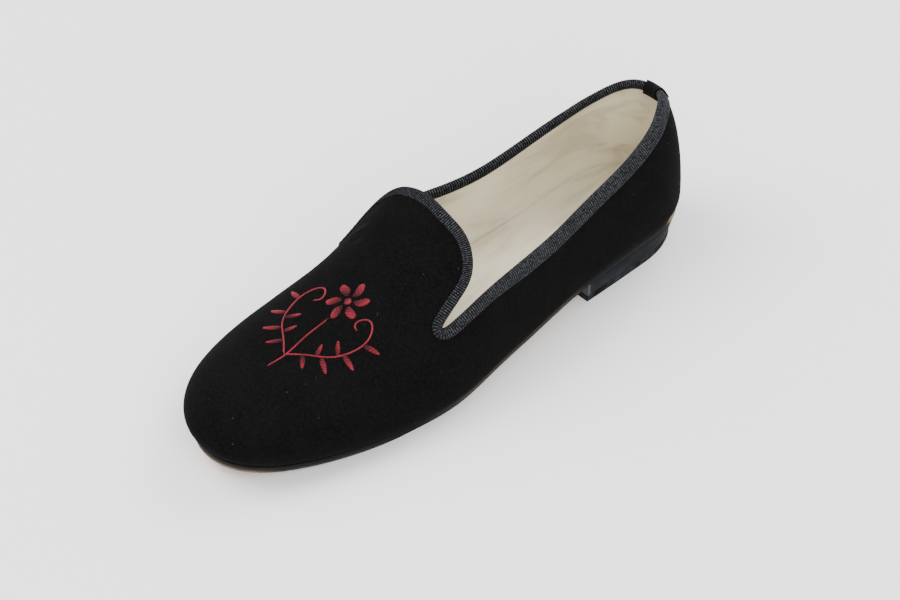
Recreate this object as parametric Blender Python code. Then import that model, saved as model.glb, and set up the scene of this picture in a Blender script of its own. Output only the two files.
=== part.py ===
"""Velvet slipper loafer, the left shoe of its pair, at its real size.

The velvet upper is one hollow shell with a real wall, over a last whose cross-sections are worked out
from the sizes and tables below. Its topline is cut to a tongue over the instep and bound in folded
grosgrain. A thin leather outsole with arch and toe spring closes it underneath, on a low heel.
Metres, +Z up, the toe towards -Y and the lateral side towards +X.
"""

from collections import namedtuple

import bmesh
import bpy
import numpy as np

# Sizes of the last
LENGTH = 0.298
BALL_WIDTH = 0.100
HEEL_WIDTH = 0.066
HEEL_CROWN = 0.0624  # how far the crown of the last rises over its widest line, at the heel
INSTEP_CROWN = 0.0704
TOE_CROWN = 0.0176
WIDEST_LINE = 0.0092  # height of the last's widest line over its feather edge
FEATHER_TUCK = 0.0050  # how far the feather edge lies inside the widest line
HEEL_TUCK = 0.0026  # the same at the back of the heel
TUCK_REACH = 0.040  # how far from the back both settle to their sizes along the sides
HEEL_ROUND = 0.040  # length of the rounded back in plan
BACK_ROUND = 0.028  # length over which the back of the crown rises
TOE_ROUND_LATERAL = 0.086
TOE_ROUND_MEDIAL = 0.074
TOE_RISE_ROUND = 0.034  # length over which the tip of the toe's crown rises

# Sizes of the bottom
HEEL_HEIGHT = 0.0126
HEEL_LENGTH = 0.081
TOE_SPRING = 0.0092
OUTSOLE_THICKNESS = 0.0035
OUTSOLE_MARGIN = 0.0008  # how far the outsole's edge stands out from the feather edge
HEEL_MARGIN = 0.0014  # the same at the back of the heel
HEEL_INSET = 0.0004  # from the outsole's edge to the heel's seat
HEEL_FOOT_INSET = 0.0047  # from the widest line to the heel's foot, which draws in at the back
TOP_PIECE_THICKNESS = 0.0035
INSOLE_THICKNESS = 0.003
EDGE_ROUND = 0.0004

# Sizes of the upper, its topline and trimmings
WALL = 0.0022
BACK_HEIGHT = 0.076  # topline over the floor, at the back seam
TONGUE_WIDTH = 0.070
BINDING_OUTSIDE = 0.0072  # down from the topline on the quarters
BINDING_ON_TONGUE = 0.0054  # the same along the tongue and its notches
BINDING_INSIDE = 0.0050
BINDING_THICKNESS = 0.0007
BINDING_PROUD = 0.0005
TAB_WIDTH = 0.013
TAB_THICKNESS = 0.0008
TAB_OUTSIDE = 0.0065
TAB_INSIDE = 0.0060
TAB_ASIDE = 0.0012  # from the back seam to the tab's middle, towards the medial side
GAP = 0.0003  # between pieces that meet
LINING_GAP = 0.0005  # between the wall and the binding's inner leg

# Squareness of the last's outlines and sections: 2 is an ellipse, and more is squarer
HEEL_POWER = 2.1
TOE_POWER = 2.04
BACK_POWER = 2.87
TOE_RISE_POWER = 2.2
SIDE_POWER = 2.2
CROWN_POWER = 2.0

# How finely the meshes follow the curves
SIDE_STEPS = 44
RIB_STEPS = 15
LIP_STEPS = 3
TOPLINE_STEPS = 100
HEEL_STEPS = 18
TAB_STEPS = 6
DENSE = 3000
WALK_STEP = 0.0005
PROBE = 1e-6
MERGE = 1e-6
FOLD_POINTS = 5  # across the half circle of a folded ribbon
SHARP = np.radians(35)
EDGE_ANGLE = np.radians(50)  # what is sharper is rounded on the sole and the heel
CHORD_POWER = 0.75  # eases the topline's curve round its tight turns
CUT_ABOVE = 0.0044  # how far the throat's cutter reaches over and under the last's surface
CUT_BELOW = 0.0055

Section = namedtuple("Section", "station width lateral medial centre rise crown")
SoleLine = namedtuple("SoleLine", "station heel spring")
Quarter = namedtuple("Quarter", "station lateral medial")
Tongue = namedtuple("Tongue", "lateral_station lateral medial_station medial")

# Cross-sections of the last. A station is a share of LENGTH from the back of the heel. Both half
# widths and the centre line's place are shares of that row's width, and the crown of its rise.
SECTIONS = (
    Section(0.0, HEEL_WIDTH, 0.500, 0.500, 0.000, HEEL_CROWN, 1.000),
    Section(0.1, HEEL_WIDTH, 0.508, 0.508, 0.000, HEEL_CROWN, 0.915),
    Section(0.2, HEEL_WIDTH, 0.533, 0.487, 0.000, HEEL_CROWN, 0.970),
    Section(0.3, HEEL_WIDTH, 0.570, 0.476, -0.015, INSTEP_CROWN, 0.937),
    Section(0.4, BALL_WIDTH, 0.420, 0.364, -0.024, INSTEP_CROWN, 1.000),
    Section(0.5, BALL_WIDTH, 0.492, 0.447, -0.054, INSTEP_CROWN, 0.985),
    Section(0.6, BALL_WIDTH, 0.504, 0.492, -0.026, INSTEP_CROWN, 0.711),
    Section(0.7, BALL_WIDTH, 0.502, 0.502, -0.040, TOE_CROWN, 1.946),
    Section(0.8, BALL_WIDTH, 0.485, 0.482, -0.051, TOE_CROWN, 1.416),
    Section(0.9, BALL_WIDTH, 0.479, 0.458, -0.050, TOE_CROWN, 1.080),
    Section(1.0, BALL_WIDTH, 0.482, 0.457, -0.006, TOE_CROWN, 0.690),
)

# Underside of the outsole over the floor, in shares of the heel's height and of the toe spring.
SOLE_LINE = (
    SoleLine(0.00, 1.00, 0.00),
    SoleLine(0.10, 1.00, 0.00),
    SoleLine(0.20, 0.95, 0.00),
    SoleLine(0.30, 0.75, 0.00),
    SoleLine(0.40, 0.42, 0.00),
    SoleLine(0.50, 0.22, 0.00),
    SoleLine(0.60, 0.03, 0.00),
    SoleLine(0.65, 0.00, 0.00),
    SoleLine(0.72, 0.00, 0.00),
    SoleLine(0.80, 0.00, 0.11),
    SoleLine(0.90, 0.00, 0.40),
    SoleLine(1.00, 0.00, 1.00),
)

# Heights of the topline along the quarters, as shares of BACK_HEIGHT, on ribs from these stations.
QUARTERS = (
    Quarter(0.00, 1.000, 1.000),
    Quarter(0.04, 0.998, 0.992),
    Quarter(0.10, 0.945, 0.943),
    Quarter(0.18, 0.886, 0.888),
    Quarter(0.27, 0.824, 0.811),
    Quarter(0.36, 0.752, 0.743),
    Quarter(0.405, 0.733, 0.720),
    Quarter(0.45, 0.721, 0.692),
    Quarter(0.50, 0.703, 0.645),
)

# The notches and the tongue: stations, and distances from the centre line as shares of TONGUE_WIDTH.
TONGUE = (
    Tongue(0.592, 0.564, 0.556, 0.600),
    Tongue(0.608, 0.548, 0.572, 0.582),
    Tongue(0.570, 0.531, 0.554, 0.556),
    Tongue(0.526, 0.497, 0.530, 0.500),
    Tongue(0.511, 0.395, 0.513, 0.372),
    Tongue(0.511, 0.209, 0.509, 0.200),
    Tongue(0.509, 0.000, 0.509, 0.000),
)

LATERAL = 1
MEDIAL = -1
RIDGE_START = 0.12
RIDGE_END = 0.87
NARROWS_FROM = 0.42  # stations between which the binding grows narrower towards the tongue
NARROWS_TO = 0.53
LIP_START = np.radians(35)


class Spline:
    """Natural cubic spline through knots. The values are numbers or points."""

    def __init__(self, knots, values):
        self.knots = np.asarray(knots, float)
        self.values = np.asarray(values, float)
        gaps = np.diff(self.knots)
        matrix = np.eye(len(self.knots))
        turns = np.zeros_like(self.values)
        for i in range(1, len(self.knots) - 1):
            matrix[i, i - 1:i + 2] = gaps[i - 1], 2 * (gaps[i - 1] + gaps[i]), gaps[i]
            before = (self.values[i] - self.values[i - 1]) / gaps[i - 1]
            after = (self.values[i + 1] - self.values[i]) / gaps[i]
            turns[i] = 6 * (after - before)
        self.bends = np.linalg.solve(matrix, turns)

    def __call__(self, at):
        at = np.asarray(at, float)
        i = np.clip(np.searchsorted(self.knots, at) - 1, 0, len(self.knots) - 2)
        gap = self.knots[i + 1] - self.knots[i]
        done = at - self.knots[i]
        left = gap - done
        if self.values.ndim > 1:
            gap, done, left = gap[..., None], done[..., None], left[..., None]
        bend = (self.bends[i] * left**3 + self.bends[i + 1] * done**3) / (6 * gap)
        start = (self.values[i] / gap - self.bends[i] * gap / 6) * left
        end = (self.values[i + 1] / gap - self.bends[i + 1] * gap / 6) * done
        return bend + start + end


def unit(vectors):
    return vectors / np.linalg.norm(vectors, axis=-1, keepdims=True)


def section_spline(size, *shares):
    """Spline along the shoe of a share times its row's named size."""
    stations = [row.station for row in SECTIONS]
    values = [[getattr(row, size) * getattr(row, share) for share in shares] for row in SECTIONS]
    return Spline(stations, values)


WIDTHS = section_spline("width", "lateral", "medial", "centre")
CROWNS = section_spline("rise", "crown")
SOLE_HEIGHTS = Spline(
    [row.station for row in SOLE_LINE],
    [row.heel * HEEL_HEIGHT + row.spring * TOE_SPRING for row in SOLE_LINE],
)


def rounding(distance, reach, power):
    """0 at an end of the last, rising to 1 at the reach, along a superellipse."""
    left = np.clip((reach - distance) / reach, 0, 1)
    return (1 - left**power) ** (1 / power)


def eased(share):
    """From 0 to 1, level at both ends."""
    share = np.clip(share, 0, 1)
    return share**2 * (3 - 2 * share)


def feather_tuck(along):
    """How far the feather edge lies inside the widest line."""
    return HEEL_TUCK + (FEATHER_TUCK - HEEL_TUCK) * eased(along / TUCK_REACH)


def outsole_inset(along):
    """How far the outsole's edge lies inside the widest line."""
    margin = HEEL_MARGIN + (OUTSOLE_MARGIN - HEEL_MARGIN) * eased(along / TUCK_REACH)
    return feather_tuck(along) - margin


def centre_line(along):
    return WIDTHS(along / LENGTH)[..., 2]


def half_width(along, side):
    """From the centre line to the widest line, on one side."""
    column, toe_round = (0, TOE_ROUND_LATERAL) if side == LATERAL else (1, TOE_ROUND_MEDIAL)
    heel = rounding(along, HEEL_ROUND, HEEL_POWER)
    toe = rounding(LENGTH - along, toe_round, TOE_POWER)
    return WIDTHS(along / LENGTH)[..., column] * heel * toe


def crown(along):
    """Rise of the last over its widest line, on its ridge."""
    back = rounding(along, BACK_ROUND, BACK_POWER)
    toe = rounding(LENGTH - along, TOE_RISE_ROUND, TOE_RISE_POWER)
    return CROWNS(along / LENGTH)[..., 0] * back * toe


def sole_height(along):
    """Underside of the outsole, which lies flat on the floor under the ball."""
    return np.maximum(SOLE_HEIGHTS(along / LENGTH), 0)


def feather_height(along):
    return sole_height(along) + OUTSOLE_THICKNESS


def last_height(along, across):
    """Height of the last over a plan point inside its widest line."""
    centre = centre_line(along)
    lateral, medial = half_width(along, LATERAL), half_width(along, MEDIAL)
    half = np.maximum(np.where(across >= centre, lateral, medial), PROBE)
    share = np.clip(np.abs(across - centre) / half, 0, 1)
    dome = (1 - share**SIDE_POWER) ** (1 / CROWN_POWER)
    return feather_height(along) + WIDEST_LINE + crown(along) * dome


def lifted(plan):
    """Points of the last over plan points (along, across)."""
    along, across = plan[..., 0], plan[..., 1]
    return np.stack([across, -along, last_height(along, across)], -1)


def normals(points):
    """Outward directions of the last at points inside its widest line."""
    along, across = -points[..., 1], points[..., 0]
    slope_along = last_height(along + PROBE, across) - last_height(along - PROBE, across)
    slope_across = last_height(along, across + PROBE) - last_height(along, across - PROBE)
    rise = np.full_like(slope_along, 2 * PROBE)
    return unit(np.stack([-slope_across, slope_along, rise], -1))


def side_line(side):
    """Dense plan points of the widest line from heel to toe, and their inward directions."""
    along = LENGTH * (1 - np.cos(np.linspace(0, np.pi, DENSE))) / 2
    line = np.stack([along, centre_line(along) + side * half_width(along, side)], 1)
    forward = unit(np.gradient(line, axis=0))
    return line, np.stack([forward[:, 1], -forward[:, 0]], 1) * side


def spaced(line, count, values):
    """Values at points spaced evenly along a line."""
    steps = np.linalg.norm(np.diff(line, axis=0), axis=1)
    length = np.concatenate([[0], np.cumsum(steps)])
    at = np.linspace(0, length[-1], count)
    return np.stack([np.interp(at, length, column) for column in values.T], 1)


def side_points(side, inset, count, until):
    """Plan points along one side, moved inwards from the widest line by the inset, which is a
    function of the place along the shoe."""
    line, inward = side_line(side)
    keep = line[:, 0] <= until
    moved = line + inward * inset(line[:, :1])
    return spaced(line[keep], count, moved[keep])


def plan_ring(inset, count=SIDE_STEPS + 1, until=LENGTH):
    """Closed plan ring: along the lateral side to the toe, and back along the medial side."""
    lateral = side_points(LATERAL, inset, count, until)
    medial = side_points(MEDIAL, inset, count, until)
    if until < LENGTH:
        return np.concatenate([lateral, medial[:0:-1]])
    return np.concatenate([lateral, medial[-2:0:-1]])


def at_height(plan, height):
    """Plan points as world points at the given heights."""
    heights = np.broadcast_to(height, plan.shape[:-1])
    return np.stack([plan[..., 1], -plan[..., 0], heights], -1)


def make_object(name, points, faces, material):
    """A closed body: points that coincide become one, and the faces point outwards."""
    mesh = bpy.data.meshes.new(name)
    mesh.from_pydata(points.reshape(-1, 3).tolist(), [], faces)
    body = bmesh.new()
    body.from_mesh(mesh)
    bmesh.ops.remove_doubles(body, verts=body.verts, dist=MERGE)
    bmesh.ops.dissolve_degenerate(body, edges=body.edges, dist=MERGE)
    bmesh.ops.recalc_face_normals(body, faces=body.faces)
    body.to_mesh(mesh)
    body.free()
    mesh.materials.append(material)
    mesh.shade_smooth()
    mesh.set_sharp_from_angle(angle=SHARP)
    made = bpy.data.objects.new(name, mesh)
    bpy.context.scene.collection.objects.link(made)
    return made


def grid_faces(rows, columns, around, first=0, flip=False):
    """Quads between the rows of a grid of points, whose rows may close on each other."""
    faces = []
    for i in range(rows if around else rows - 1):
        below, above = first + i * columns, first + (i + 1) % rows * columns
        for j in range(columns - 1):
            quad = [below + j, below + j + 1, above + j + 1, above + j]
            faces.append(quad[::-1] if flip else quad)
    return faces


def wall_object(name, outer, inner, material, around, closed_top=False):
    """Body between two grids of points [station, row]. Its rows' ends are joined by rims, apart
    from a top where the last rows fold onto themselves."""
    stations, rows = outer.shape[:2]
    points = np.concatenate([outer.reshape(-1, 3), inner.reshape(-1, 3)])
    shift = stations * rows
    faces = grid_faces(stations, rows, around)
    faces += grid_faces(stations, rows, around, shift, True)
    rims = [0] if closed_top else [0, rows - 1]
    for i in range(stations if around else stations - 1):
        here, there = i * rows, (i + 1) % stations * rows
        for j in rims:
            faces.append([here + j, there + j, there + j + shift, here + j + shift])
    if not around:
        for i in (0, stations - 1):
            for j in range(rows - 1):
                corner = i * rows + j
                faces.append([corner, corner + 1, corner + 1 + shift, corner + shift])
    return make_object(name, points, faces, material)


def slab_object(name, top, bottom, material):
    """Body between two rings that run along the lateral side and back along the medial one."""
    count = len(top)
    points = np.concatenate([top, bottom])
    faces = [[i, (i + 1) % count, (i + 1) % count + count, i + count] for i in range(count)]
    for base in (0, count):
        for i in range(count // 2):
            near, far = (count - i) % count, count - i - 1
            corners = dict.fromkeys((base + i, base + i + 1, base + far, base + near))
            if len(corners) > 2:
                faces.append(list(corners))
    made = make_object(name, points, faces, material)
    rounded = made.modifiers.new("rounded edges", "BEVEL")
    rounded.width = EDGE_ROUND
    rounded.segments = 1
    rounded.limit_method = "ANGLE"
    rounded.angle_limit = EDGE_ANGLE
    return made


def material(name, colour, roughness, metallic=0.0):
    made = bpy.data.materials.new(name)
    made.use_nodes = True
    shader = made.node_tree.nodes["Principled BSDF"]
    shader.inputs["Base Color"].default_value = (*colour, 1)
    shader.inputs["Roughness"].default_value = roughness
    shader.inputs["Metallic"].default_value = metallic
    return made


def rib_point(side, station, height):
    """Plan point where the last reaches a height, on the rib that starts at an outline station."""
    along = np.array(station * LENGTH)
    start = np.array([along, centre_line(along) + side * half_width(along, side)])
    middle = np.maximum(along, HEEL_ROUND)
    end = np.array([middle, centre_line(middle)])
    share = np.linspace(0, 1, DENSE) ** 2
    rib = start + share[:, None] * (end - start)
    heights = last_height(rib[:, 0], rib[:, 1])
    rising = np.maximum.accumulate(heights)
    reached = np.interp(height, rising, share)
    return start + reached * (end - start)


def topline_side(side):
    """Plan points of the topline from the back seam to the tongue's tip."""
    name = "lateral" if side == LATERAL else "medial"
    points = [rib_point(side, row.station, getattr(row, name) * BACK_HEIGHT) for row in QUARTERS]
    for row in TONGUE:
        along = getattr(row, name + "_station") * LENGTH
        across = side * getattr(row, name) * TONGUE_WIDTH
        points.append(np.array([along, centre_line(along) + across]))
    return np.array(points)


def topline():
    """Dense closed topline on the last, from the back seam round the lateral side first."""
    lateral, medial = topline_side(LATERAL), topline_side(MEDIAL)
    loop = np.concatenate([lateral, medial[-2:0:-1]])
    overlap = 4
    knots = np.concatenate([loop[-overlap:], loop, loop[:overlap + 1]])
    chords = np.linalg.norm(np.diff(knots, axis=0), axis=1) ** CHORD_POWER
    at = np.concatenate([[0], np.cumsum(chords)])
    curve = Spline(at, knots)
    return lifted(curve(np.linspace(at[overlap], at[overlap + len(loop)], DENSE)[:-1]))


def headings(points):
    """Directions on the last's surface at right angles to a closed line, away from the throat."""
    forward = unit(np.roll(points, -1, axis=0) - np.roll(points, 1, axis=0))
    return unit(np.cross(normals(points), forward))


def topline_stations(dense, count):
    """Indices along the dense topline, spaced closer where it turns."""
    ahead = np.roll(dense, -1, axis=0) - dense
    turn = np.linalg.norm(np.roll(unit(ahead), -1, axis=0) - unit(ahead), axis=1)
    measure = np.linalg.norm(ahead, axis=1) + turn * 2 * BINDING_OUTSIDE
    total = np.concatenate([[0], np.cumsum(measure)])
    at = np.linspace(0, total[-1], count, endpoint=False)
    return np.searchsorted(total, at, side="left") % len(dense)


def walk(points, heading, distance):
    """Points moved along the last's surface, each by its distance, with their headings kept flat
    on it."""
    steps = max(1, round(np.max(distance) / WALK_STEP))
    stride = np.broadcast_to(distance, points.shape[:-1])[..., None] / steps
    for _ in range(steps):
        normal = normals(points)
        heading = unit(heading - normal * (heading * normal).sum(-1, keepdims=True))
        points = points + heading * stride
        normal = normals(points)
        error = points[..., 2] - last_height(-points[..., 1], points[..., 0])
        points = points - normal * (error * normal[..., 2])[..., None]
    return points, heading


def leg_share(points):
    """Length of the binding's legs below its fold at points of the topline, as a share of their
    length on the quarters."""
    narrow = (BINDING_ON_TONGUE - FOLD) / (BINDING_OUTSIDE - FOLD)
    station = -points[..., 1] / LENGTH
    return 1 + (narrow - 1) * eased((station - NARROWS_FROM) / (NARROWS_TO - NARROWS_FROM))


def band(points, heading, profile):
    """Grid of points over a line on the last. The profile holds (distance down, height) pairs, and
    what lies below the fold narrows with the binding."""
    reached = {}
    share = leg_share(points)
    here, done = points, 0.0
    for distance in sorted({distance for distance, _ in profile}):
        if distance > done:
            folded = min(distance, FOLD) - min(done, FOLD)
            legs = max(distance, FOLD) - max(done, FOLD)
            here, heading = walk(here, heading, folded + legs * share)
            done = distance
        reached[distance] = here
    rows = [reached[distance] + normals(reached[distance]) * height for distance, height in profile]
    return np.stack(rows, 1)


def fold_profile(outside, inside, over, radius):
    """Profile of a ribbon's face folded over the wall's top edge: a leg, a half circle and a leg."""
    middle = over - radius
    angles = np.linspace(0, np.pi, FOLD_POINTS)
    half_circle = [(FOLD - radius * np.sin(a), middle + radius * np.cos(a)) for a in angles]
    return [(outside, over), ((outside + FOLD) / 2, over), *half_circle, (inside, over - 2 * radius)]


# Half of the folded binding's thickness, which is also how far its fold's centre lies down the wall
FOLD = (BINDING_PROUD + WALL + LINING_GAP + BINDING_THICKNESS) / 2
WALL_TOP = FOLD - GAP
RECESS = BINDING_PROUD - BINDING_THICKNESS - GAP


def build_throat_cutter():
    """Cutter of the throat: it ends the wall inside the binding's fold and sinks a step under the
    binding's outer leg."""
    dense = topline()
    chosen = topline_stations(dense, TOPLINE_STEPS)
    outside = BINDING_OUTSIDE + GAP
    middle = (outside + WALL_TOP) / 2
    profile = [(outside, CUT_ABOVE), (outside, RECESS), (middle, RECESS), (WALL_TOP, RECESS)]
    profile.append((WALL_TOP, -CUT_BELOW))
    grid = band(dense[chosen], headings(dense)[chosen], profile)
    lid = grid[:, 0] * (1, 1, 0) + (0, 0, HEEL_CROWN + INSTEP_CROWN)
    base = grid[:, -1] * (1, 1, 0) + (0, 0, BACK_HEIGHT / 2)
    rows = np.concatenate([lid[:, None], grid, base[:, None]], 1)
    stations, columns = rows.shape[:2]
    faces = grid_faces(stations, columns, True)
    faces.append([i * columns for i in range(stations)])
    faces.append([i * columns + columns - 1 for i in range(stations)])
    cutter = make_object("throat_cutter", rows, faces, material("cutter", (1, 0, 0), 1))
    cutter.hide_render = True
    cutter.display_type = "WIRE"
    return cutter


def build_upper():
    """Velvet shell from the feather edge over the last, with the throat cut out of it."""
    widest = plan_ring(lambda along: 0)
    inward = unit(plan_ring(lambda along: WALL) - widest)
    tuck = feather_tuck(widest[:, :1])
    angles = np.linspace(LIP_START, np.pi / 2, LIP_STEPS + 1)[:-1]
    outer, inner = [], []
    for angle in angles:
        inset = tuck * (1 - np.sin(angle)) / (1 - np.sin(LIP_START))
        rise = WIDEST_LINE * (1 - np.cos(angle) / np.cos(LIP_START))
        ring = widest + inward * inset
        height = feather_height(widest[:, 0]) + GAP + rise * (1 - GAP / WIDEST_LINE)
        outer.append(at_height(ring, height))
        inner.append(at_height(ring + inward * WALL, height))
    outer.append(at_height(widest, feather_height(widest[:, 0]) + WIDEST_LINE))
    inner.append(outer[-1] + at_height(inward * WALL, 0))
    opposite = np.roll(widest[::-1], 1, axis=0)
    ridge = LENGTH * RIDGE_START + (widest + opposite)[:, 0] / 2 * (RIDGE_END - RIDGE_START)
    ridge = np.stack([ridge, centre_line(ridge)], 1)
    for angle in np.linspace(0, np.pi / 2, RIB_STEPS + 1)[1:]:
        points = lifted(widest + (ridge - widest) * (1 - np.cos(angle)))
        outer.append(points)
        inner.append(points - normals(points) * WALL)
    velvet = material("velvet", (0.012, 0.012, 0.013), 0.95)
    upper = wall_object("upper", np.stack(outer, 1), np.stack(inner, 1), velvet, True, True)
    cut = upper.modifiers.new("throat", "BOOLEAN")
    cut.object = build_throat_cutter()
    cut.operation = "DIFFERENCE"
    cut.solver = "EXACT"
    return upper


def build_binding():
    """Grosgrain folded over the whole topline."""
    dense = topline()
    chosen = topline_stations(dense, TOPLINE_STEPS)
    outer = fold_profile(BINDING_OUTSIDE, BINDING_INSIDE, BINDING_PROUD, FOLD)
    under = BINDING_PROUD - BINDING_THICKNESS
    inner = fold_profile(BINDING_OUTSIDE, BINDING_INSIDE, under, FOLD - BINDING_THICKNESS)
    grids = [band(dense[chosen], headings(dense)[chosen], face) for face in (outer, inner)]
    grosgrain = material("grosgrain", (0.05, 0.053, 0.06), 0.7)
    return wall_object("topline_binding", *grids, grosgrain, True)


def build_heel_tab():
    """Short ribbon folded over the binding at the back seam."""
    dense = topline()
    steps = np.linalg.norm(np.roll(dense, -1, axis=0) - dense, axis=1)
    length = np.concatenate([[0], np.cumsum(steps)])[:-1]
    wanted = np.linspace(-TAB_WIDTH / 2, TAB_WIDTH / 2, TAB_STEPS + 1) - TAB_ASIDE
    chosen = np.searchsorted(length, wanted % steps.sum()) % len(dense)
    outer_over = BINDING_PROUD + GAP + TAB_THICKNESS
    radius = FOLD + GAP
    outer = fold_profile(TAB_OUTSIDE, TAB_INSIDE, outer_over, radius + TAB_THICKNESS)
    inner = fold_profile(TAB_OUTSIDE, TAB_INSIDE, BINDING_PROUD + GAP, radius)
    lift = max(0, radius + TAB_THICKNESS - FOLD)
    start, heading = dense[chosen], headings(dense)[chosen]
    start, heading = walk(start, -heading, lift)
    grids = []
    for face in (outer, inner):
        lowered = [(distance + lift, height) for distance, height in face]
        grids.append(band(start, -heading, lowered))
    ribbon = material("ribbon", (0.01, 0.01, 0.011), 0.6)
    return wall_object("heel_tab", *grids, ribbon, False)


def build_insole():
    """Insole that fills the foot of the upper, on the outsole."""
    ring = plan_ring(lambda along: feather_tuck(along) + WALL + GAP)
    low = feather_height(ring[:, 0]) + GAP
    sock = material("sock", (0.75, 0.68, 0.58), 0.8)
    top, bottom = at_height(ring, low + INSOLE_THICKNESS), at_height(ring, low)
    return slab_object("insole", top, bottom, sock)


def build_outsole():
    """Leather outsole with its arch and toe spring."""
    ring = plan_ring(outsole_inset)
    low = sole_height(ring[:, 0])
    leather = material("sole_leather", (0.32, 0.23, 0.14), 0.55)
    top, bottom = at_height(ring, low + OUTSOLE_THICKNESS), at_height(ring, low)
    return slab_object("outsole", top, bottom, leather)


def build_heel():
    """Heel block under the outsole's seat, and the top piece that it stands on."""
    wide = plan_ring(lambda along: outsole_inset(along) + HEEL_INSET, HEEL_STEPS, HEEL_LENGTH)
    narrow = plan_ring(lambda along: HEEL_FOOT_INSET, HEEL_STEPS, HEEL_LENGTH)
    seat = at_height(wide, sole_height(wide[:, 0]) - GAP)
    joint = at_height(narrow, TOP_PIECE_THICKNESS)
    foot = at_height(narrow, 0)
    block = material("heel_leather", (0.02, 0.021, 0.024), 0.45)
    rubber = material("heel_rubber", (0.015, 0.015, 0.016), 0.6)
    lift = (0, 0, GAP)
    return [
        slab_object("heel_block", seat, joint + lift, block),
        slab_object("heel_top_piece", joint, foot, rubber),
    ]


def centre_over_origin(objects):
    """Moves the shoe so that its box is centred on the origin, and it stands on the floor."""
    corners = np.array([vertex.co for made in objects for vertex in made.data.vertices])
    low, high = corners.min(axis=0), corners.max(axis=0)
    for made in bpy.data.objects:
        made.location = (-(low[0] + high[0]) / 2, -(low[1] + high[1]) / 2, -low[2])


def main():
    for old in list(bpy.data.objects):
        bpy.data.objects.remove(old)
    pieces = [build_upper(), build_binding(), build_heel_tab(), build_insole(), build_outsole()]
    pieces += build_heel()
    centre_over_origin(pieces)


main()
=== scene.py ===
"""Looks of the velvet slipper loafer: velvet, lining, ribbed binding, embroidery, sole and heel.

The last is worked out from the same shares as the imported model, with its lengths read from the
frame, and every piece is built on it again, finely. Metres, +Z up, the toe towards -Y, lateral
towards +X.
"""

from collections import namedtuple

import bmesh
import bpy
import numpy as np
from mathutils import Matrix, Vector


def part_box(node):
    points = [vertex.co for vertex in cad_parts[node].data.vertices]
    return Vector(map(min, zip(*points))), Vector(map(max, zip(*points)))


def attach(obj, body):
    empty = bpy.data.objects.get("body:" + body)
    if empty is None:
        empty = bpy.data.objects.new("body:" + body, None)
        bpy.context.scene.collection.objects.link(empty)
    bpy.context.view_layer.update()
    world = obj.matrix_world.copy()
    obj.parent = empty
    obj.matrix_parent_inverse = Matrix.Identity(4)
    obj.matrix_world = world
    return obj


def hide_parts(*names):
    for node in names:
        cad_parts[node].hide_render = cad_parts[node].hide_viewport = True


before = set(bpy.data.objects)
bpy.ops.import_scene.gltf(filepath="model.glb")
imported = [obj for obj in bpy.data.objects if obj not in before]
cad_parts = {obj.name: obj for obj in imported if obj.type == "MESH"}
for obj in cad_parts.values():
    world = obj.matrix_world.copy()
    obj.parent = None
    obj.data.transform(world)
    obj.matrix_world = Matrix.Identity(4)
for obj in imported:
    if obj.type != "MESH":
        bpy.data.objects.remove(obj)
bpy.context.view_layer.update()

MM = 0.001

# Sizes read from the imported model
UPPER_LOW, UPPER_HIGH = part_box("upper")
LENGTH = UPPER_HIGH.y - UPPER_LOW.y
HEEL_BACK = UPPER_HIGH.y
HEEL_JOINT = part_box("heel_block")[0].z
HEEL_LENGTH = HEEL_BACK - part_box("heel_block")[0].y
BACK_HEIGHT = 76 * MM

# Sizes of the last
BALL_WIDTH = 100 * MM
HEEL_WIDTH = 66 * MM
HEEL_CROWN = 62.4 * MM
INSTEP_CROWN = 70.4 * MM
TOE_CROWN = 17.6 * MM
WIDEST_LINE = 9.2 * MM
FEATHER_TUCK = 5.0 * MM
HEEL_TUCK = 2.6 * MM
TUCK_REACH = 40 * MM
HEEL_ROUND = 40 * MM
BACK_ROUND = 28 * MM
TOE_ROUND_LATERAL = 86 * MM
TOE_ROUND_MEDIAL = 74 * MM
TOE_RISE_ROUND = 34 * MM
HEEL_HEIGHT = 12.6 * MM
TOE_SPRING = 9.2 * MM

# Sizes of the bottom and of the upper's trimmings
OUTSOLE_THICKNESS = 3.5 * MM
OUTSOLE_MARGIN = 0.8 * MM
HEEL_MARGIN = 1.4 * MM
HEEL_INSET = 0.4 * MM
HEEL_FOOT_INSET = 4.7 * MM
INSOLE_THICKNESS = 3 * MM
WALL = 2.2 * MM
VELVET = 1.15 * MM
TONGUE_WIDTH = 70 * MM
BINDING_OUTSIDE = 7.2 * MM
BINDING_ON_TONGUE = 5.4 * MM
BINDING_INSIDE = 5 * MM
BINDING_THICKNESS = 0.7 * MM
BINDING_PROUD = 0.5 * MM
TAB_WIDTH = 13 * MM
TAB_THICKNESS = 0.8 * MM
TAB_OUTSIDE = 6.5 * MM
TAB_INSIDE = 6 * MM
TAB_ASIDE = 1.2 * MM
GAP = 0.3 * MM
LINING_GAP = 0.5 * MM

# Squareness of the last's outlines and sections
HEEL_POWER = 2.1
TOE_POWER = 2.04
BACK_POWER = 2.87
TOE_RISE_POWER = 2.2
SIDE_POWER = 2.2
CROWN_POWER = 2.0
CHORD_POWER = 0.75  # eases the topline's curve round its tight turns
RIDGE_START = 0.12
RIDGE_END = 0.87
LIP_START = np.radians(35)

# How finely the meshes follow the curves
SIDE_STEPS = 190
RIB_STEPS = 44
LIP_STEPS = 6
CUTTER_STEPS = 420
DENSE = 9000
WALK_STEP = 0.5 * MM
PROBE = 1e-6
MERGE = 1e-7
EDGE_ANGLE = np.radians(50)  # what is sharper stays sharp
SLAB_EDGE_ANGLE = np.radians(40)
NARROWS_FROM = 0.42  # stations between which the binding grows narrower towards the tongue
NARROWS_TO = 0.53
CUT_ABOVE = 4.4 * MM  # how far the throat's cutter reaches over and under the last's surface
CUT_BELOW = 5.5 * MM
LATERAL = 1
MEDIAL = -1

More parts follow.
